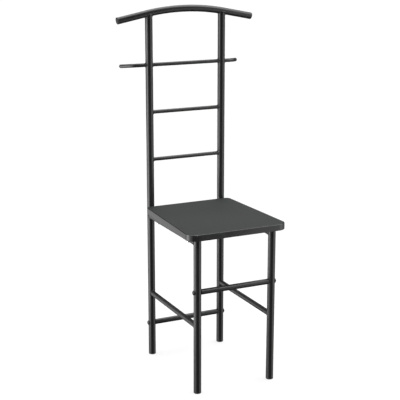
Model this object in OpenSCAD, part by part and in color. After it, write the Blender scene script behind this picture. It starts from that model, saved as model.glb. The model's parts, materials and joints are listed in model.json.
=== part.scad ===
// Valet stand: a tube-steel clothes stand with a seat board, hanger bar, tie bar and rungs.
// Millimetres. +Z up, front towards -Y. The origin is on the floor, at the centre of the bounding box.

/* [Frame] */
// Outside diameter of the legs, uprights and seat rails
tube_d = 22; // [20:1:25]
// Wall thickness of the large tubes
tube_wall = 1.5; // [1.2:0.1:2]
// Distance between the left and right leg centrelines
leg_spacing = 236; // [216:1:240]
// Distance between the front and rear leg centrelines
leg_depth = 327; // [300:1:360]
// Height where each upright plugs onto its rear leg
join_z = 541; // [520:1:560]

/* [Seat] */
// Height of the seat's top face
seat_top = 478; // [440:1:480]
// Thickness of the seat board
seat_t = 18; // [15:1:22]
// Width of the seat board at its front edge
seat_front_w = 312; // [300:1:380]
// Width of the seat board at its back edge
seat_back_w = 279; // [270:1:300]
// How far the seat board reaches in front of the front leg centrelines
seat_overhang = 29; // [25:1:60]
// Corner radius at the front of the seat board
seat_front_r = 29; // [20:1:45]
// Corner radius at the back of the seat board
seat_back_r = 16; // [10:1:30]

/* [Stretchers] */
// Outside diameter of the side stretchers and crossbars
bar_d = 16; // [14:1:18]
// Wall thickness of the side stretchers and crossbars
bar_wall = 1.5; // [1:0.1:2]
// Height of the front crossbar
front_bar_z = 303; // [240:1:320]
// Height of the rear crossbar
rear_bar_z = 103; // [70:1:130]
// Height of the two side stretchers
side_bar_z = 201; // [160:1:220]

/* [Hanger] */
// Outside diameter of the hanger bar
hanger_d = 20; // [18:1:22]
// Height of the hanger bar's centreline at its crown
crown_z = 1063; // [1000:1:1120]
// Bend radius of the hanger bar's centreline
crown_r = 663; // [640:1:720]
// Angle turned by each half of the bend
crown_half_angle = 11; // [11:0.1:12]
// Half of the hanger bar's span, to the end of the tube
hanger_half_span = 214; // [205:1:240]

/* [Rungs] */
// Outside diameter of the tie bar and rungs
rung_d = 11; // [10:1:12]
// Wall thickness of the tie bar and rungs
rung_wall = 1.2; // [1:0.1:1.5]
// Height of the tie bar
tie_z = 903; // [860:1:930]
// Height of the upper rung
upper_rung_z = 763; // [720:1:780]
// Height of the lower rung
lower_rung_z = 620; // [600:1:640]
// Half length of the tie bar's straight middle
tie_half_straight = 135; // [134:1:150]
// Bend radius at the tie bar's swept ends
tie_bend_r = 42; // [35:1:50]
// Angle through which each tie bar end sweeps back
tie_sweep = 55; // [45:1:75]
// Length of the straight tip after each bend
tie_tip = 34; // [20:1:40]
// Downward tilt of the swept ends
tie_droop = 7; // [0:0.1:10]

/* [Hidden] */
$fn = 96;

// Gap left for the weld at every coped tube end, and for a pressed-in part
weld_gap = 0.05;
fit_gap = 0.05;
// Length by which a cutting tool runs past the material it cuts
over = 1;

tube_r = tube_d / 2;
tube_ri = tube_r - tube_wall;
hanger_r = hanger_d / 2;
hanger_ri = hanger_r - tube_wall;
bar_r = bar_d / 2;
bar_ri = bar_r - bar_wall;
rung_r = rung_d / 2;
rung_ri = rung_r - rung_wall;

// Foot plug: its flange is the last of each leg, under the tube's cut end
foot_flange_h = 4;
foot_edge_r = 1.5;
foot_stem_h = 18;
// Radius of the hollow inside a plug's stem
plug_core_r = 6;

// Hanger end plug and tie bar end cap
plug_flange_h = 3;
plug_edge_r = 1.2;
plug_stem_h = 16;
cap_stem_h = 12;

// Spigot inside the joint of each upright
spigot_half = 55;
spigot_wall = 1.5;

// Crossbar screw: M8 button head with a hexagon socket
screw_d = 8;
screw_head_d = 14;
screw_head_h = 4.4;
screw_socket = 5;
screw_socket_h = 2.6;
screw_reach = 14;
screw_hole_d = 8.6;
insert_len = 22;
// The head's dome starts just above the leg
screw_rim_h = 0.9;
screw_dome_h = screw_head_h - screw_rim_h;
screw_dome_r = (pow(screw_head_d / 2, 2) + pow(screw_dome_h, 2)) / (2 * screw_dome_h);

// Seat screw: pan head, driven up through the seat rail
seat_screw_d = 4.8;
seat_screw_head_d = 9.5;
seat_screw_head_h = 3;
seat_screw_bite = 12;
seat_pilot_extra = 1;
seat_screw_hole_d = 5.4;
seat_screw_y = 105;
seat_screw_slot = 1.2;

// Clearance between the board's back edge and the uprights
seat_back_gap = 0.5;

leg_x = leg_spacing / 2;
seat_under = seat_top - seat_t;
rail_z = seat_under - tube_r;

// Ends of the object along Y, measured from midway between the legs
tie_back = tie_bend_r * (1 - cos(tie_sweep)) + tie_tip * sin(tie_sweep);
y_back = leg_depth / 2 + tie_back * cos(tie_droop) + rung_r;
y_front = -leg_depth / 2 - seat_overhang;
y_mid = (y_back + y_front) / 2;
rear_y = leg_depth / 2 - y_mid;
front_y = -leg_depth / 2 - y_mid;
seat_front_y = front_y - seat_overhang;
seat_back_y = rear_y - tube_r - seat_back_gap;

// Hanger bar: half width of its bend, and the straight arm on each side
crown_half_w = crown_r * sin(crown_half_angle);
arm_len = (hanger_half_span - crown_half_w) / cos(crown_half_angle);
crown_centre_z = crown_z - crown_r;
// Height of the hanger bar's centreline over an upright
crown_leg_z = crown_centre_z + sqrt(crown_r * crown_r - leg_x * leg_x);
// The upright's coped top stops where the bar is as wide as the upright's inside
cope_drop = sqrt(max(hanger_r * hanger_r - tube_ri * tube_ri, 0));

// Bent tubes: a straight stretch is a hair thinner than the bend it joins, and starts inside it
bend_overlap = 2;
bend_step = 0.1;

// Square-cut crossbar between two legs: its ends meet the innermost line of each leg
crossbar_len = leg_spacing - tube_d - 2 * weld_gap;

// ---------- shared shapes ----------

// A tube standing on the XY plane
module tube(r, ri, h) {
  difference() {
    cylinder(r = r, h = h);
    translate([0, 0, -over]) cylinder(r = ri, h = h + 2 * over);
  }
}

// A rod along X, centred on the origin
module rod_x(r, len) {
  translate([-len / 2, 0, 0]) rotate([0, 90, 0]) cylinder(r = r, h = len);
}

// A rod along Y, centred on the origin
module rod_y(r, len) {
  translate([0, -len / 2, 0]) rotate([-90, 0, 0]) cylinder(r = r, h = len);
}

// The space round a leg or upright that a coped tube end must keep clear of
module leg_clearance(x, y, z0, z1) {
  translate([x, y, z0]) cylinder(r = tube_r + weld_gap, h = z1 - z0);
}

// ---------- side frames ----------

module rear_leg(side) {
  color([0.05, 0.05, 0.05])
    difference() {
      translate([side * leg_x, rear_y, foot_flange_h]) tube(tube_r, tube_ri, join_z - foot_flange_h);
      translate([side * leg_x, rear_y, rear_bar_z]) rod_x(screw_hole_d / 2, tube_d + 2 * over);
    }
}

module front_leg(side) {
  color([0.05, 0.05, 0.05])
    difference() {
      translate([side * leg_x, front_y, foot_flange_h]) tube(tube_r, tube_ri, seat_under - foot_flange_h);
      translate([side * leg_x, front_y, front_bar_z]) rod_x(screw_hole_d / 2, tube_d + 2 * over);
    }
}

module seat_rail(side) {
  rail_mid = (rear_y + front_y) / 2;
  color([0.05, 0.05, 0.05])
    difference() {
      translate([side * leg_x, rail_mid, rail_z])
        difference() {
          rod_y(tube_r, leg_depth);
          rod_y(tube_ri, leg_depth + 2 * over);
        }
      leg_clearance(side * leg_x, rear_y, rail_z - tube_d, rail_z + tube_d);
      leg_clearance(side * leg_x, front_y, rail_z - tube_d, rail_z + tube_d);
      for (dy = [-seat_screw_y, seat_screw_y])
        translate([side * leg_x, rail_mid + dy, rail_z - tube_d]) cylinder(d = seat_screw_hole_d, h = 2 * tube_d);
    }
}

module side_stretcher(side) {
  color([0.05, 0.05, 0.05])
    difference() {
      translate([side * leg_x, (rear_y + front_y) / 2, side_bar_z])
        difference() {
          rod_y(bar_r, leg_depth);
          rod_y(bar_ri, leg_depth + 2 * over);
        }
      leg_clearance(side * leg_x, rear_y, side_bar_z - tube_d, side_bar_z + tube_d);
      leg_clearance(side * leg_x, front_y, side_bar_z - tube_d, side_bar_z + tube_d);
    }
}

// ---------- crossbars and their screws ----------

module crossbar(y, z) {
  color([0.05, 0.05, 0.05])
    translate([0, y, z])
      difference() {
        rod_x(bar_r, crossbar_len);
        rod_x(bar_ri, crossbar_len + 2 * over);
      }
}

// Threaded plug pressed into the right-hand end of a crossbar
module thread_insert() {
  translate([crossbar_len / 2 - insert_len, 0, 0])
    rotate([0, 90, 0])
      difference() {
        cylinder(r = bar_ri - fit_gap, h = insert_len);
        translate([0, 0, -over]) cylinder(r = screw_d / 2 + fit_gap, h = insert_len + 2 * over);
      }
}

module crossbar_thread_inserts() {
  color([0.6, 0.6, 0.58]) {
    for (m = [0, 1]) {
      translate([0, front_y, front_bar_z]) mirror([m, 0, 0]) thread_insert();
      translate([0, rear_y, rear_bar_z]) mirror([m, 0, 0]) thread_insert();
    }
  }
}

// Button-head screw driven inwards through the right-hand leg
module crossbar_screw() {
  translate([leg_x + tube_r, 0, 0])
    rotate([0, 90, 0])
      difference() {
        union() {
          translate([0, 0, -tube_d - screw_reach]) cylinder(d = screw_d, h = tube_d + screw_reach + over);
          rotate_extrude()
            intersection() {
              square([screw_head_d / 2, screw_head_h]);
              translate([0, screw_head_h - screw_dome_r]) circle(r = screw_dome_r);
            }
        }
        translate([0, 0, screw_head_h - screw_socket_h])
          cylinder(d = screw_socket / cos(30), h = screw_socket_h + over, $fn = 6);
      }
}

module crossbar_screws(y, z) {
  color([0.1, 0.1, 0.1])
    for (m = [0, 1])
      translate([0, y, z]) mirror([m, 0, 0]) crossbar_screw();
}

// ---------- back frame ----------

module hanger_arc(r) {
  translate([0, rear_y, crown_centre_z])
    rotate([90, 0, 0])
      rotate([0, 0, 90 - crown_half_angle])
        rotate_extrude(angle = 2 * crown_half_angle, $fn = 720)
          translate([crown_r, 0]) circle(r = r, $fn = 96);
}

// Places its child at the outer end of an arm, with +Z running on along the arm
module at_hanger_tip(side) {
  translate([0, rear_y, crown_centre_z])
    rotate([0, side * crown_half_angle, 0])
      translate([side * arm_len, 0, crown_r])
        rotate([0, side * 90, 0])
          children();
}

module hanger_solid(r, extra) {
  hanger_arc(r);
  for (side = [-1, 1])
    at_hanger_tip(side)
      translate([0, 0, -arm_len - bend_overlap])
        cylinder(r = r - bend_step, h = arm_len + bend_overlap + extra);
}

module hanger_bar() {
  color([0.05, 0.05, 0.05])
    difference() {
      hanger_solid(hanger_r, 0);
      hanger_solid(hanger_ri, over);
    }
}

module back_upright(side) {
  color([0.05, 0.05, 0.05])
    difference() {
      translate([side * leg_x, rear_y, join_z])
        tube(tube_r, tube_ri, crown_leg_z - cope_drop - join_z);
      hanger_arc(hanger_r + weld_gap);
      translate([side * leg_x, rear_y, tie_z]) rod_x(rung_r + weld_gap, tube_d + 2 * over);
    }
}

module joint_spigot(side) {
  color([0.45, 0.45, 0.44])
    translate([side * leg_x, rear_y, join_z - spigot_half])
      tube(tube_ri - fit_gap, tube_ri - fit_gap - spigot_wall, 2 * spigot_half);
}

module rung(z) {
  color([0.05, 0.05, 0.05])
    difference() {
      translate([0, rear_y, z])
        difference() {
          rod_x(rung_r, leg_spacing);
          rod_x(rung_ri, leg_spacing + 2 * over);
        }
      for (side = [-1, 1])
        leg_clearance(side * leg_x, rear_y, z - tube_d, z + tube_d);
    }
}

// One swept end of the tie bar, from the end of its straight middle; extra lengthens the tip
module tie_end(r, extra) {
  translate([tie_half_straight, rear_y, tie_z])
    rotate([-tie_droop, 0, 0])
      translate([0, tie_bend_r, 0]) {
        rotate([0, 0, -90])
          rotate_extrude(angle = tie_sweep, $fn = 144)
            translate([tie_bend_r, 0]) circle(r = r, $fn = 64);
        rotate([0, 0, tie_sweep])
          translate([-bend_overlap, -tie_bend_r, 0]) rotate([0, 90, 0])
            cylinder(r = r - bend_step, h = bend_overlap + tie_tip + extra, $fn = 64);
      }
}

module tie_solid(r, extra) {
  translate([0, rear_y, tie_z]) rod_x(r - bend_step, 2 * (tie_half_straight + bend_overlap));
  for (m = [0, 1])
    mirror([m, 0, 0]) tie_end(r, extra);
}

module tie_bar() {
  color([0.05, 0.05, 0.05])
    difference() {
      tie_solid(rung_r, 0);
      tie_solid(rung_ri, over);
    }
}

// Domed cap pressed into the end of the tie bar
module tie_bar_end_cap(m) {
  color([0.04, 0.04, 0.04])
    mirror([m, 0, 0])
      translate([tie_half_straight, rear_y, tie_z])
        rotate([-tie_droop, 0, 0])
          translate([0, tie_bend_r, 0])
            rotate([0, 0, tie_sweep])
              translate([tie_tip, -tie_bend_r, 0])
                rotate([0, 90, 0]) {
                  rotate_extrude($fn = 64)
                    intersection() {
                      circle(r = rung_r);
                      square([rung_r, rung_r]);
                    }
                  translate([0, 0, -cap_stem_h]) cylinder(r = rung_ri - fit_gap, h = cap_stem_h + rung_r / 2);
                }
}

// ---------- plastic plugs ----------

// A round plug for a tube of radii r and ri: flange with a rounded outer edge, and a hollow stem
module end_plug(r, ri, flange_h, edge_r, stem_h) {
  rotate_extrude()
    difference() {
      union() {
        square([r - edge_r, flange_h]);
        square([r, flange_h - edge_r]);
        translate([r - edge_r, flange_h - edge_r]) circle(r = edge_r, $fn = 48);
        translate([0, -stem_h]) square([ri - fit_gap, stem_h + flange_h / 2]);
      }
      translate([0, -stem_h - over]) square([plug_core_r, stem_h + over]);
    }
}

module hanger_end_plug(side) {
  color([0.04, 0.04, 0.04])
    at_hanger_tip(side) end_plug(hanger_r, hanger_ri, plug_flange_h, plug_edge_r, plug_stem_h);
}

module foot_plug(x, y) {
  color([0.04, 0.04, 0.04])
    translate([x, y, foot_flange_h])
      rotate([180, 0, 0]) end_plug(tube_r, tube_ri, foot_flange_h, foot_edge_r, foot_stem_h);
}

// ---------- seat ----------

// Plan of the seat board: straight sides that widen towards the front, rounded corners
seat_side_angle = atan((seat_front_w - seat_back_w) / 2 / (seat_back_y - seat_front_y));

// Distance from a sharp corner to where its rounding starts, along either edge
function corner_cut(r, corner_angle) = r / tan(corner_angle / 2);

module seat_plan() {
  hf = seat_front_w / 2;
  hb = seat_back_w / 2;
  yf = seat_front_y;
  yb = seat_back_y;
  cut_f = corner_cut(seat_front_r, 90 - seat_side_angle);
  cut_b = corner_cut(seat_back_r, 90 + seat_side_angle);
  sa = sin(seat_side_angle);
  ca = cos(seat_side_angle);
  polygon([
    [-hf + cut_f, yf], [hf - cut_f, yf],
    [hf - cut_f * sa, yf + cut_f * ca], [hb + cut_b * sa, yb - cut_b * ca],
    [hb - cut_b, yb], [-hb + cut_b, yb],
    [-hb - cut_b * sa, yb - cut_b * ca], [-hf + cut_f * sa, yf + cut_f * ca]
  ]);
  for (side = [-1, 1]) {
    translate([side * (hf - cut_f), yf + seat_front_r]) circle(r = seat_front_r);
    translate([side * (hb - cut_b), yb - seat_back_r]) circle(r = seat_back_r);
  }
}

module seat_board() {
  rail_mid = (rear_y + front_y) / 2;
  color([0.09, 0.095, 0.093])
    difference() {
      translate([0, 0, seat_under]) linear_extrude(height = seat_t) seat_plan();
      for (side = [-1, 1])
        for (dy = [-seat_screw_y, seat_screw_y])
          translate([side * leg_x, rail_mid + dy, seat_under - over])
            cylinder(d = seat_screw_d + 2 * fit_gap, h = over + seat_screw_bite + seat_pilot_extra);
    }
}

// Slotted pan-head screw, point up, with its head against the rail's underside
module seat_screw() {
  difference() {
    union() {
      cylinder(d = seat_screw_d, h = tube_d + seat_screw_bite);
      translate([0, 0, -seat_screw_head_h]) cylinder(d = seat_screw_head_d, h = seat_screw_head_h);
    }
    translate([-seat_screw_head_d, -seat_screw_slot / 2, -seat_screw_head_h - over])
      cube([2 * seat_screw_head_d, seat_screw_slot, seat_screw_slot + over]);
  }
}

module seat_screws() {
  rail_mid = (rear_y + front_y) / 2;
  color([0.62, 0.62, 0.6])
    for (side = [-1, 1])
      for (dy = [-seat_screw_y, seat_screw_y])
        translate([side * leg_x, rail_mid + dy, rail_z - tube_r]) seat_screw();
}

// ---------- assembly ----------

rear_leg(-1);  // rear_leg_left
rear_leg(1);  // rear_leg_right
front_leg(-1);  // front_leg_left
front_leg(1);  // front_leg_right
seat_rail(-1);  // seat_rail_left
seat_rail(1);  // seat_rail_right
side_stretcher(-1);  // side_stretcher_left
side_stretcher(1);  // side_stretcher_right
crossbar(front_y, front_bar_z);  // front_crossbar
crossbar(rear_y, rear_bar_z);  // rear_crossbar
crossbar_thread_inserts();
crossbar_screws(front_y, front_bar_z);  // front_crossbar_screws
crossbar_screws(rear_y, rear_bar_z);  // rear_crossbar_screws
back_upright(-1);  // back_upright_left
back_upright(1);  // back_upright_right
joint_spigot(-1);  // joint_spigot_left
joint_spigot(1);  // joint_spigot_right
hanger_bar();
hanger_end_plug(-1);  // hanger_end_plug_left
hanger_end_plug(1);  // hanger_end_plug_right
tie_bar();
tie_bar_end_cap(1);  // tie_bar_end_cap_left
tie_bar_end_cap(0);  // tie_bar_end_cap_right
rung(upper_rung_z);  // upper_rung
rung(lower_rung_z);  // lower_rung
foot_plug(-leg_x, rear_y);  // foot_plug_rear_left
foot_plug(leg_x, rear_y);  // foot_plug_rear_right
foot_plug(-leg_x, front_y);  // foot_plug_front_left
foot_plug(leg_x, front_y);  // foot_plug_front_right
seat_board();
seat_screws();
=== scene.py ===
import json
import math

import bmesh
import bpy
from mathutils import Matrix, Vector


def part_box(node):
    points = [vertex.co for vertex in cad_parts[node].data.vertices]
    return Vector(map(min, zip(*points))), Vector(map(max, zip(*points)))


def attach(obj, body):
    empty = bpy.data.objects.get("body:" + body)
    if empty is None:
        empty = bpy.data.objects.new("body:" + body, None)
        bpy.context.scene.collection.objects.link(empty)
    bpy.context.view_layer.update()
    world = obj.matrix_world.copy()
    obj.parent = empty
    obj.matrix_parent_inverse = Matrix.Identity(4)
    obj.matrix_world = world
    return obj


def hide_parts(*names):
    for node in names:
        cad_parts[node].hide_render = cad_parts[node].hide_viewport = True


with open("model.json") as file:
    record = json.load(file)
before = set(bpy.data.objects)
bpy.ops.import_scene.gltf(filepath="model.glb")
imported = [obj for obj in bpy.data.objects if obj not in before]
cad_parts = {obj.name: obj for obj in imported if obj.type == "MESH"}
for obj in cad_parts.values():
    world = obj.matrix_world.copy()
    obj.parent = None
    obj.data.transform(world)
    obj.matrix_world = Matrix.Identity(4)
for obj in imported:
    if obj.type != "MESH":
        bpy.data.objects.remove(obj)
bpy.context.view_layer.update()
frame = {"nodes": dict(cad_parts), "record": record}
scene = bpy.context.scene
MM = 0.001
SIDES = ((-1, "left"), (1, "right"))


def add_object(name, data):
    obj = bpy.data.objects.new(name, data)
    scene.collection.objects.link(obj)
    return obj


def turns(steps):
    """The angles of equal steps once round a circle."""
    return [2 * math.pi * k / steps for k in range(steps)]


# ---------- dimensions from the CAD ----------

def size_of(node):
    """A node's lowest corner, highest corner and middle."""
    lo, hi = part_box(node)
    return lo, hi, (lo + hi) / 2


leg_lo, leg_hi, leg_mid = size_of("rear_leg_right")
LEG_X = leg_mid.x
REAR_Y = leg_mid.y
FRONT_Y = size_of("front_leg_right")[2].y
TUBE_R = (leg_hi.x - leg_lo.x) / 2
JOIN_Z = leg_hi.z
RAIL_Z = size_of("seat_rail_right")[2].z
SIDE_Z = size_of("side_stretcher_right")[2].z
BAR_R = (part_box("front_crossbar")[1].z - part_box("front_crossbar")[0].z) / 2
RUNG_R = (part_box("upper_rung")[1].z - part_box("upper_rung")[0].z) / 2
UPPER_Z = size_of("upper_rung")[2].z
LOWER_Z = size_of("lower_rung")[2].z
# The tie bar's swept ends droop, so its straight middle is level with its top
TIE_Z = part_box("tie_bar")[1].z - RUNG_R
# The hanger bar's radius, and the height of its centreline at the crown
HANGER_R = (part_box("hanger_bar")[1].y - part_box("hanger_bar")[0].y) / 2
CROWN_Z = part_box("hanger_bar")[1].z - HANGER_R
# No box shows the radius of the hanger bar's bend or the tubes' wall, so they repeat the CAD's
CROWN_R = 663 * MM
TUBE_WALL = 1.5 * MM


# ---------- camera ----------

# Place in metres, angles in radians, lens and sensor in millimetres
CAM_AT = (-1.35732, -2.76572, 1.30465)
CAM_PITCH, CAM_YAW, CAM_ROLL = 0.25030, 0.44858, 0.00052
CAM_LENS = 97.44
CAM_SENSOR = 36.0

cam_data = bpy.data.cameras.new("camera")
cam_data.sensor_width = CAM_SENSOR
cam_data.lens = CAM_LENS
cam_data.clip_start = 0.05
cam_data.clip_end = 400
cam = add_object("camera", cam_data)
forward = Vector((
    math.sin(CAM_YAW) * math.cos(CAM_PITCH),
    math.cos(CAM_YAW) * math.cos(CAM_PITCH),
    -math.sin(CAM_PITCH),
))
roll = Matrix.Rotation(CAM_ROLL, 3, "Z").to_quaternion()
cam.location = CAM_AT
cam.rotation_mode = "QUATERNION"
cam.rotation_quaternion = forward.to_track_quat("-Z", "Y") @ roll
scene.camera = cam


# ---------- node helpers ----------

# Nearly all of a noise's values lie between these two
NOISE_LO, NOISE_HI = 0.3, 0.7


def feed(tree, socket, value):
    """Gives a socket a number, a colour or another node's output."""
    if isinstance(value, (int, float)):
        socket.default_value = value
    elif isinstance(value, tuple):
        socket.default_value = (*value, 1.0)
    else:
        tree.links.new(value, socket)


def math_node(tree, kind, a, b):
    n = tree.nodes.new("ShaderNodeMath")
    n.operation = kind
    feed(tree, n.inputs[0], a)
    feed(tree, n.inputs[1], b)
    return n.outputs[0]


def smooth_ramp(tree, value, lo, hi, a=0.0, b=1.0):
    """a where value is under lo, b where it is over hi, and a smooth step between them."""
    n = tree.nodes.new("ShaderNodeMapRange")
    n.interpolation_type = "SMOOTHSTEP"
    for name, number in (("From Min", lo), ("From Max", hi), ("To Min", a), ("To Max", b)):
        n.inputs[name].default_value = number
    tree.links.new(value, n.inputs["Value"])
    return n.outputs["Result"]


class Nodes:
    """Builds a material's node tree with short calls."""

    def __init__(self, name):
        self.mat = bpy.data.materials.new(name)
        self.mat.use_nodes = True
        self.tree = self.mat.node_tree
        self.shader = self.tree.nodes["Principled BSDF"]
        coords = self.tree.nodes.new("ShaderNodeTexCoord")
        self.position = coords.outputs["Object"]

    def set(self, name, value):
        """Gives one of the shader's inputs a number, a colour or another node's output."""
        feed(self.tree, self.shader.inputs[name], value)

    def noise(self, scale, detail=2.0, rough=0.5):
        n = self.tree.nodes.new("ShaderNodeTexNoise")
        n.inputs["Scale"].default_value = scale
        n.inputs["Detail"].default_value = detail
        n.inputs["Roughness"].default_value = rough
        self.tree.links.new(self.position, n.inputs["Vector"])
        return n.outputs["Fac"]

    def ramp(self, value, lo, hi, a=0.0, b=1.0):
        return smooth_ramp(self.tree, value, lo, hi, a, b)

    def spread(self, noise, a=0.0, b=1.0):
        """A noise's own range, stretched over a to b."""
        return self.ramp(noise, NOISE_LO, NOISE_HI, a, b)

    def maths(self, kind, a, b):
        return math_node(self.tree, kind, a, b)

    def mix(self, factor, a, b):
        """A colour from a to b. Inputs 6 and 7 and output 2 are the node's colour sockets."""
        n = self.tree.nodes.new("ShaderNodeMix")
        n.data_type = "RGBA"
        feed(self.tree, n.inputs["Factor"], factor)
        feed(self.tree, n.inputs[6], a)
        feed(self.tree, n.inputs[7], b)
        return n.outputs[2]

    def height(self):
        n = self.tree.nodes.new("ShaderNodeSeparateXYZ")
        self.tree.links.new(self.position, n.inputs[0])
        return n.outputs["Z"]

    def bump(self, *parts):
        """Each part is (height value, depth in metres). They are added one on another."""
        normal = None
        for value, depth in parts:
            n = self.tree.nodes.new("ShaderNodeBump")
            n.inputs["Strength"].default_value = 1.0
            n.inputs["Distance"].default_value = depth
            self.tree.links.new(value, n.inputs["Height"])
            if normal is not None:
                self.tree.links.new(normal, n.inputs["Normal"])
            normal = n.outputs["Normal"]
        self.set("Normal", normal)


# ---------- materials ----------

def powder_coat():
    """Satin black powder coat: orange peel, faint cloudiness, scuffs near the floor."""
    m = Nodes("powder_coat_black")
    cloud = m.spread(m.noise(14.0, 3.0))
    speck = m.ramp(m.noise(1500.0, 1.0), 0.62, 0.80)
    low = m.ramp(m.height(), 2 * MM, 60 * MM, 1.0, 0.0)
    scuff = m.maths("MULTIPLY", low, m.ramp(m.noise(260.0, 4.0, 0.65), 0.60, 0.70))
    shade = m.mix(cloud, (0.0040, 0.0040, 0.0042), (0.0062, 0.0062, 0.0065))
    shade = m.mix(speck, shade, (0.011, 0.011, 0.0115))
    shade = m.mix(m.maths("MULTIPLY", scuff, 0.6), shade, (0.075, 0.075, 0.074))
    gloss = m.spread(m.noise(38.0, 3.0), 0.29, 0.36)
    m.set("Base Color", shade)
    m.set("Roughness", m.maths("ADD", gloss, m.maths("MULTIPLY", scuff, 0.2)))
    m.set("IOR", 1.56)
    m.bump((m.noise(900.0), 0.03 * MM), (m.noise(240.0), 0.05 * MM))
    return m.mat


def plug_plastic():
    """Moulded black polyethylene: fine spark-eroded texture, rubbed a little grey underneath."""
    m = Nodes("plug_plastic_black")
    cloud = m.spread(m.noise(60.0, 3.0))
    low = m.ramp(m.height(), 0.0, 2.2 * MM, 1.0, 0.0)
    rub = m.maths("MULTIPLY", low, m.ramp(m.noise(420.0, 3.0), 0.45, 0.65))
    shade = m.mix(cloud, (0.010, 0.010, 0.011), (0.017, 0.017, 0.018))
    shade = m.mix(m.maths("MULTIPLY", rub, 0.7), shade, (0.09, 0.09, 0.088))
    m.set("Base Color", shade)
    m.set("Roughness", m.spread(m.noise(120.0), 0.42, 0.54))
    m.bump((m.noise(2600.0, 1.0), 0.02 * MM))
    return m.mat


def black_screw():
    """Black oxide steel with a thin oil sheen, rubbed lighter in random patches."""
    m = Nodes("black_oxide_steel")
    rub = m.ramp(m.noise(300.0, 3.0), 0.35, NOISE_HI)
    m.set("Base Color", m.mix(rub, (0.030, 0.030, 0.032), (0.055, 0.055, 0.057)))
    m.set("Metallic", 0.85)
    m.set("Roughness", m.spread(m.noise(500.0), 0.26, 0.40))
    m.bump((m.noise(1800.0), 0.012 * MM))
    return m.mat


def zinc_plate():
    """Bright zinc with a faint yellow tint in patches."""
    m = Nodes("bright_zinc_plate")
    tint = m.ramp(m.noise(220.0, 4.0, 0.6), 0.35, NOISE_HI)
    m.set("Base Color", m.mix(tint, (0.50, 0.51, 0.52), (0.66, 0.65, 0.61)))
    m.set("Metallic", 1.0)
    m.set("Roughness", m.spread(m.noise(700.0), 0.24, 0.38))
    m.bump((m.noise(1500.0), 0.01 * MM))
    return m.mat


def bare_steel():
    """Drawn steel, dull and a little cloudy."""
    m = Nodes("drawn_bare_steel")
    cloud = m.spread(m.noise(90.0, 4.0, 0.6))
    m.set("Base Color", m.mix(cloud, (0.33, 0.33, 0.33), (0.46, 0.45, 0.44)))
    m.set("Metallic", 1.0)
    m.set("Roughness", m.spread(m.noise(400.0), 0.34, 0.5))
    m.bump((m.noise(900.0, 3.0), 0.015 * MM))
    return m.mat


def seat_laminate():
    """Anthracite melamine with a fine pearl grain."""
    m = Nodes("seat_laminate_anthracite")
    cloud = m.spread(m.noise(9.0, 3.0))
    grain = m.noise(1300.0)
    shade = m.mix(cloud, (0.0160, 0.0172, 0.0168), (0.0168, 0.0180, 0.0176))
    shade = m.mix(m.ramp(grain, 0.35, 0.75), shade, (0.0240, 0.0256, 0.0250))
    m.set("Base Color", shade)
    m.set("Roughness", m.spread(grain, 0.49, 0.55))
    m.set("Specular IOR Level", 0.20)
    m.bump((grain, 0.05 * MM))
    return m.mat


def edge_band():
    """Satin ABS edging, a shade darker than the board."""
    m = Nodes("seat_edge_band")
    cloud = m.spread(m.noise(40.0, 3.0))
    m.set("Base Color", m.mix(cloud, (0.0080, 0.0084, 0.0084), (0.0102, 0.0106, 0.0106)))
    m.set("Roughness", m.spread(m.noise(80.0), 0.20, 0.25))
    m.bump((m.noise(1600.0, 1.0), 0.015 * MM))
    return m.mat


MATERIALS = {
    "powder_coat": powder_coat(),
    "plug_plastic": plug_plastic(),
    "black_screw": black_screw(),
    "zinc_plate": zinc_plate(),
    "bare_steel": bare_steel(),
    "seat_laminate": seat_laminate(),
}
BAND = edge_band()

for part in frame["record"]["subparts"]:
    node = frame["nodes"][part["node"]]
    for material_slot in node.material_slots:
        material_slot.material = MATERIALS[part["material_slot"]]


# ---------- mesh helpers ----------

def new_piece(name, verts, faces, material, sharp_deg):
    """A mesh piece with smooth faces, kept sharp where they meet at more than sharp_deg."""
    mesh = bpy.data.meshes.new(name)
    mesh.from_pydata([tuple(v) for v in verts], [], faces)
    bm = bmesh.new()
    bm.from_mesh(mesh)
    bmesh.ops.recalc_face_normals(bm, faces=bm.faces)
    for face in bm.faces:
        face.smooth = True
    limit = math.radians(sharp_deg)
    for edge in bm.edges:
        edge.smooth = edge.calc_face_angle(0.0) < limit
    bm.to_mesh(mesh)
    bm.free()
    mesh.materials.append(material)
    obj = add_object(name, mesh)
    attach(obj, "root")
    return obj


def lofted(rings, closed=False):
    """Points and faces between rings of equal length. Closed joins the last ring to the first."""
    n = len(rings[0])
    verts = [p for row in rings for p in row]
    faces = []
    for k in range(len(rings) if closed else len(rings) - 1):
        a = k * n
        b = (k + 1) % len(rings) * n
        for i in range(n):
            j = (i + 1) % n
            faces.append((a + i, a + j, b + j, b + i))
    return verts, faces


# ---------- weld beads ----------

BEAD_R = 1.7 * MM
# How much of its radius a bead gains and loses in each ripple, and in each slow swell
RIPPLE = 0.08
SWELL = 0.07
SWELLS = 3
RIPPLE_PITCH = 2.2 * MM
FEWEST_RIPPLES = 6
BEAD_STEPS = 12
SADDLE_STEPS = 96
HANGER_BEAD_STEPS = 120
# A slanting direction that no bead runs along
OBLIQUE = Vector((0.31, 0.57, 0.76))
# A seat rail is as wide as the leg it meets, so its bead runs just inside its outline
RAIL_BEAD_R = TUBE_R - 0.4 * MM


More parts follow.
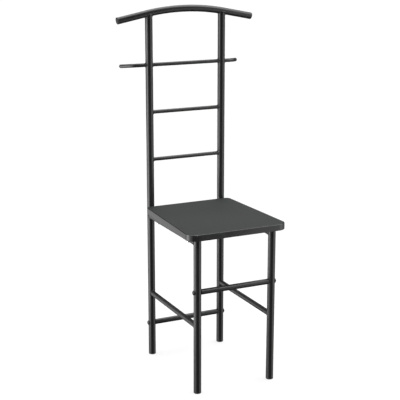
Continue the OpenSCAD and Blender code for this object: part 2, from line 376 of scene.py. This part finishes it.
def bead(name, path):
    """A weld bead: a rounded ridge along a closed path, with the small ripples of its passes."""
    n = len(path)
    length = sum((path[i] - path[i - 1]).length for i in range(n))
    # Where the swells start comes from the length, so beads of different sizes differ
    swell_start = length / MM
    ripples = max(FEWEST_RIPPLES, round(length / RIPPLE_PITCH))
    rings = []
    run = 0.0
    for i in range(n):
        here = path[i]
        after = path[(i + 1) % n]
        along = (after - path[i - 1]).normalized()
        side = along.cross(OBLIQUE).normalized()
        up = along.cross(side).normalized()
        turn = 2 * math.pi * run / length
        ripple = RIPPLE * math.cos(ripples * turn)
        swell = SWELL * math.sin(SWELLS * turn + swell_start)
        r = BEAD_R * (1 + ripple + swell)
        rings.append([
            here + side * (r * math.cos(a)) + up * (r * math.sin(a)) for a in turns(BEAD_STEPS)
        ])
        run += (after - here).length
    verts, faces = lofted(rings, closed=True)
    new_piece(name, verts, faces, MATERIALS["powder_coat"], sharp_deg=180)


def saddle(centre, axis, r_bar):
    """The closed line where a bar meets a vertical tube. Axis is the way it runs from centre."""
    across = Vector((0, 0, 1)).cross(axis)
    points = []
    for a in turns(SADDLE_STEPS):
        s = r_bar * math.sin(a)
        reach = math.sqrt(max(TUBE_R * TUBE_R - s * s, 0.0))
        points.append(centre + axis * reach + across * s + Vector((0, 0, r_bar * math.cos(a))))
    return points


def under_hanger(side):
    """The closed line where an upright meets the underside of the hanger bar."""
    bend_z = CROWN_Z - CROWN_R
    # The upright's cope stops level, where the bar is as wide as the upright's inside
    inside = TUBE_R - TUBE_WALL
    drop = math.sqrt(max(HANGER_R * HANGER_R - inside * inside, 0.0))
    cope_top = bend_z + math.sqrt(CROWN_R * CROWN_R - LEG_X * LEG_X) - drop
    points = []
    for a in turns(HANGER_BEAD_STEPS):
        x = side * LEG_X + TUBE_R * math.sin(a)
        dy = TUBE_R * math.cos(a)
        rho = CROWN_R - math.sqrt(max(HANGER_R * HANGER_R - dy * dy, 0.0))
        on_bar = bend_z + math.sqrt(rho * rho - x * x)
        points.append(Vector((x, REAR_Y + dy, min(on_bar, cope_top))))
    return points


BACK, FRONT = Vector((0, 1, 0)), Vector((0, -1, 0))

for side, word in SIDES:
    x = side * LEG_X
    inward = Vector((-side, 0, 0))
    bead(f"weld_stretcher_front_{word}", saddle(Vector((x, FRONT_Y, SIDE_Z)), BACK, BAR_R))
    bead(f"weld_stretcher_rear_{word}", saddle(Vector((x, REAR_Y, SIDE_Z)), FRONT, BAR_R))
    bead(f"weld_rail_front_{word}", saddle(Vector((x, FRONT_Y, RAIL_Z)), BACK, RAIL_BEAD_R))
    bead(f"weld_rail_rear_{word}", saddle(Vector((x, REAR_Y, RAIL_Z)), FRONT, RAIL_BEAD_R))
    bead(f"weld_upper_rung_{word}", saddle(Vector((x, REAR_Y, UPPER_Z)), inward, RUNG_R))
    bead(f"weld_lower_rung_{word}", saddle(Vector((x, REAR_Y, LOWER_Z)), inward, RUNG_R))
    bead(f"weld_tie_bar_inner_{word}", saddle(Vector((x, REAR_Y, TIE_Z)), inward, RUNG_R))
    bead(f"weld_tie_bar_outer_{word}", saddle(Vector((x, REAR_Y, TIE_Z)), -inward, RUNG_R))
    bead(f"weld_hanger_{word}", under_hanger(side))


# ---------- tube joints ----------

# A lip's height and width, and the groove between the two
LIP_H = 0.22 * MM
LIP_W = 1.7 * MM
GROOVE_W = 0.24 * MM
LIP_STEPS = 10
LIP_ROUND_STEPS = 96
# The lip's height follows a sine, skewed by this power towards the groove
LIP_SKEW = 1.6
# How deep the lip's edges and its hidden back lie in the tube
LIP_EDGE_SINK = 0.05 * MM
LIP_BACK_SINK = 0.4 * MM


def joint_lips(name, x, z):
    """Two tubes' rolled mouths, end to end: two low lips with a fine groove between them."""
    coat = MATERIALS["powder_coat"]
    profile = []
    for k in range(LIP_STEPS + 1):
        t = k / LIP_STEPS
        rise = math.sin(math.pi * t ** LIP_SKEW)
        away = GROOVE_W / 2 + (LIP_W - GROOVE_W / 2) * (1 - t)
        profile.append((LIP_H * rise - LIP_EDGE_SINK, away))
    profile += [(-LIP_BACK_SINK, GROOVE_W / 2), (-LIP_BACK_SINK, LIP_W)]
    for word, way in (("lower", -1), ("upper", 1)):
        rings = []
        for proud, away in profile:
            r = TUBE_R + proud
            rings.append([
                Vector((x + r * math.cos(a), REAR_Y + r * math.sin(a), z + way * away))
                for a in turns(LIP_ROUND_STEPS)
            ])
        verts, faces = lofted(rings, closed=True)
        new_piece(f"{name}_{word}", verts, faces, coat, sharp_deg=50)


for side, word in SIDES:
    joint_lips(f"tube_mouth_{word}", side * LEG_X, JOIN_Z)


# ---------- seat board ----------

# The board's half widths and corner radii, as in the CAD
SEAT_BACK_HALF = 139.5 * MM
SEAT_FRONT_HALF = 156 * MM
SEAT_BACK_R = 16 * MM
SEAT_FRONT_R = 29 * MM
CORNER_STEPS = 20
SIDE_STEPS = 24
# The edging's wall, its eased edges, and how far in its top face reaches
BAND_T = 1.5 * MM
TOP_EASE_R = 1.6 * MM
BOTTOM_EASE_R = 0.6 * TOP_EASE_R
BAND_REACH = BAND_T + 0.3 * TOP_EASE_R
EASE_STEPS = 6
# The seam between edging and board
SEAM_W = 0.25 * MM
SEAM_D = 0.35 * MM
PANEL_CHAMFER = 0.1 * MM

seat_lo, seat_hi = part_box("seat_board")


def seat_outline():
    """[(point, outward normal)] round the board, anticlockwise, with its rounded corners."""
    yf, yb = seat_lo.y, seat_hi.y
    corners = [
        (-SEAT_FRONT_HALF, yf, SEAT_FRONT_R), (SEAT_FRONT_HALF, yf, SEAT_FRONT_R),
        (SEAT_BACK_HALF, yb, SEAT_BACK_R), (-SEAT_BACK_HALF, yb, SEAT_BACK_R),
    ]
    arcs = []
    for i, (x, y, r) in enumerate(corners):
        p = Vector((x, y))
        a = (Vector(corners[i - 1][:2]) - p).normalized()
        b = (Vector(corners[(i + 1) % 4][:2]) - p).normalized()
        half = a.angle(b) / 2
        centre = p + (a + b).normalized() * (r / math.sin(half))
        start = p + a * (r / math.tan(half)) - centre
        turn = math.pi - 2 * half
        arc = []
        for k in range(CORNER_STEPS + 1):
            n = (Matrix.Rotation(turn * k / CORNER_STEPS, 2) @ start).normalized()
            arc.append((centre + n * r, n))
        arcs.append(arc)
    out = []
    for i, arc in enumerate(arcs):
        out += arc
        (p, n), (q, _) = arc[-1], arcs[(i + 1) % 4][0]
        out += [(p.lerp(q, k / SIDE_STEPS), n) for k in range(1, SIDE_STEPS)]
    return out


outline = seat_outline()


def seat_ring(inset, z):
    """The board's outline at height z, moved in by inset."""
    return [Vector((*(p - n * inset), z)) for p, n in outline]


def ease(z, r, way):
    """Rings round an eased edge of radius r, from the side face to the level face at z.

    Way is 1 for the board's top edge and -1 for its bottom one.
    """
    rings = []
    for k in range(EASE_STEPS + 1):
        a = math.pi / 2 * k / EASE_STEPS
        rings.append(seat_ring(r * (1 - math.cos(a)), z - way * r * (1 - math.sin(a))))
    return rings


def seat_band():
    """The edging: a ribbon round the board, eased at its top and bottom corners."""
    top, bottom = seat_hi.z, seat_lo.z
    rings = [seat_ring(BAND_T, bottom + SEAM_D)]
    rings += ease(bottom, BOTTOM_EASE_R, -1)[::-1]
    rings += ease(top, TOP_EASE_R, 1)
    rings += [seat_ring(BAND_REACH, top), seat_ring(BAND_REACH, top - SEAM_D)]
    verts, faces = lofted(rings, closed=True)
    new_piece("seat_edge_band", verts, faces, BAND, sharp_deg=40)


def seat_panel():
    """The laminated board inside the edging, a hairline seam away from it."""
    top, bottom = seat_hi.z, seat_lo.z
    inset = BAND_REACH + SEAM_W
    rings = [
        seat_ring(inset, bottom),
        seat_ring(inset, top - PANEL_CHAMFER),
        seat_ring(inset + PANEL_CHAMFER, top),
    ]
    verts, faces = lofted(rings)
    n = len(outline)
    faces.append(tuple(range(n))[::-1])
    faces.append(tuple(range(2 * n, 3 * n)))
    laminate = MATERIALS["seat_laminate"]
    return new_piece("seat_panel", verts, faces, laminate, sharp_deg=30)


panel = seat_panel()
seat_band()
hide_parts("seat_board")


# ---------- floor ----------

FLOOR_R = 120.0
FLOOR_STEPS = 96
# Just under the feet
FLOOR_Z = -0.2 * MM

floor_mesh = bpy.data.meshes.new("floor")
floor_rim = [(FLOOR_R * math.cos(a), FLOOR_R * math.sin(a), FLOOR_Z) for a in turns(FLOOR_STEPS)]
floor_mesh.from_pydata(floor_rim, [], [tuple(range(FLOOR_STEPS))])
floor = add_object("floor", floor_mesh)
floor_mat = bpy.data.materials.new("floor_pale")
floor_mat.use_nodes = True
floor_shader = floor_mat.node_tree.nodes["Principled BSDF"]
floor_shader.inputs["Base Color"].default_value = (0.20, 0.20, 0.20, 1)
floor_shader.inputs["Emission Color"].default_value = (1, 1, 1, 1)
floor_shader.inputs["Emission Strength"].default_value = 0.73
floor_shader.inputs["Roughness"].default_value = 1.0
floor_shader.inputs["Specular IOR Level"].default_value = 0.0
floor_mesh.materials.append(floor_mat)
floor.visible_glossy = False
floor.visible_shadow = False


# ---------- light ----------

# The even light from all round, and what the camera sees behind the object
FILL = 0.105
BACKDROP = 1.0
# Azimuth, elevation, inner and outer half angle in degrees, and radiance
SOFTBOXES = (
    (180, 74, 27, 39, 3.4),
    (100, 38, 12, 34, 3.0),
    (-64, -8, 12, 42, 1.3),
    (-104, -8, 12, 50, 0.34),
    (90, -8, 15, 42, 0.95),
)

world = bpy.data.worlds.new("studio")
scene.world = world
world.use_nodes = True
sky = world.node_tree
background = sky.nodes["Background"]
background.inputs["Color"].default_value = (1, 1, 1, 1)
sky_coords = sky.nodes.new("ShaderNodeTexCoord")


def studio_direction(azimuth, elevation):
    """A direction in the studio. Azimuth 0 is the front of the set, positive to its right."""
    a, e = math.radians(azimuth), math.radians(elevation)
    toward = Vector((-math.sin(CAM_YAW), -math.cos(CAM_YAW), 0))
    right = Vector((math.cos(CAM_YAW), -math.sin(CAM_YAW), 0))
    level_dir = toward * math.cos(a) + right * math.sin(a)
    return level_dir * math.cos(e) + Vector((0, 0, 1)) * math.sin(e)


def softbox(azimuth, elevation, inner, outer, radiance):
    """A round soft light far away: full inside the inner half angle, gone at the outer one."""
    dot = sky.nodes.new("ShaderNodeVectorMath")
    dot.operation = "DOT_PRODUCT"
    dot.inputs[1].default_value = studio_direction(azimuth, elevation)
    sky.links.new(sky_coords.outputs["Generated"], dot.inputs[0])
    gone, full = math.cos(math.radians(outer)), math.cos(math.radians(inner))
    return smooth_ramp(sky, dot.outputs["Value"], gone, full, 0.0, radiance)


light = FILL
for box in SOFTBOXES:
    light = math_node(sky, "ADD", light, softbox(*box))
seen = sky.nodes.new("ShaderNodeLightPath")
shown = sky.nodes.new("ShaderNodeMix")
shown.data_type = "FLOAT"
sky.links.new(seen.outputs["Is Camera Ray"], shown.inputs["Factor"])
# Inputs 2 and 3 are the mix node's number sockets
sky.links.new(light, shown.inputs[2])
shown.inputs[3].default_value = BACKDROP
sky.links.new(shown.outputs[0], background.inputs["Strength"])


def panel_light(name, azimuth, distance, z_lo, z_hi, width, radiance, aim_z=None, spread=180):
    """A soft rectangular panel that faces the object. It lights and is mirrored, but isn't seen."""
    data = bpy.data.lights.new(name, "AREA")
    data.shape = "RECTANGLE"
    data.size = width
    data.size_y = z_hi - z_lo
    data.energy = radiance * math.pi * data.size * data.size_y
    data.spread = math.radians(spread)
    lamp = add_object(name, data)
    middle_z = (z_lo + z_hi) / 2
    lamp.location = studio_direction(azimuth, 0) * distance + Vector((0, 0, middle_z))
    aim = Vector((0, 0, middle_z if aim_z is None else aim_z)) - lamp.location
    lamp.rotation_mode = "QUATERNION"
    lamp.rotation_quaternion = aim.to_track_quat("-Z", "Y")
    lamp.visible_camera = False


panel_light("panel_left", -76, 1.1, -0.25, 1.35, 0.72, 3.3)
panel_light("panel_left_rear", -126, 1.1, -0.3, 0.55, 0.9, 0.7)
panel_light("panel_right", 68, 1.1, -0.3, 1.35, 0.7, 0.8)
panel_light("panel_over", 20, 0.8, 1.3, 1.7, 0.5, 2.1, aim_z=0.44, spread=40)

scene.view_settings.view_transform = "Standard"
scene.view_settings.look = "None"
scene.view_settings.exposure = 0.0
scene.view_settings.gamma = 1.0
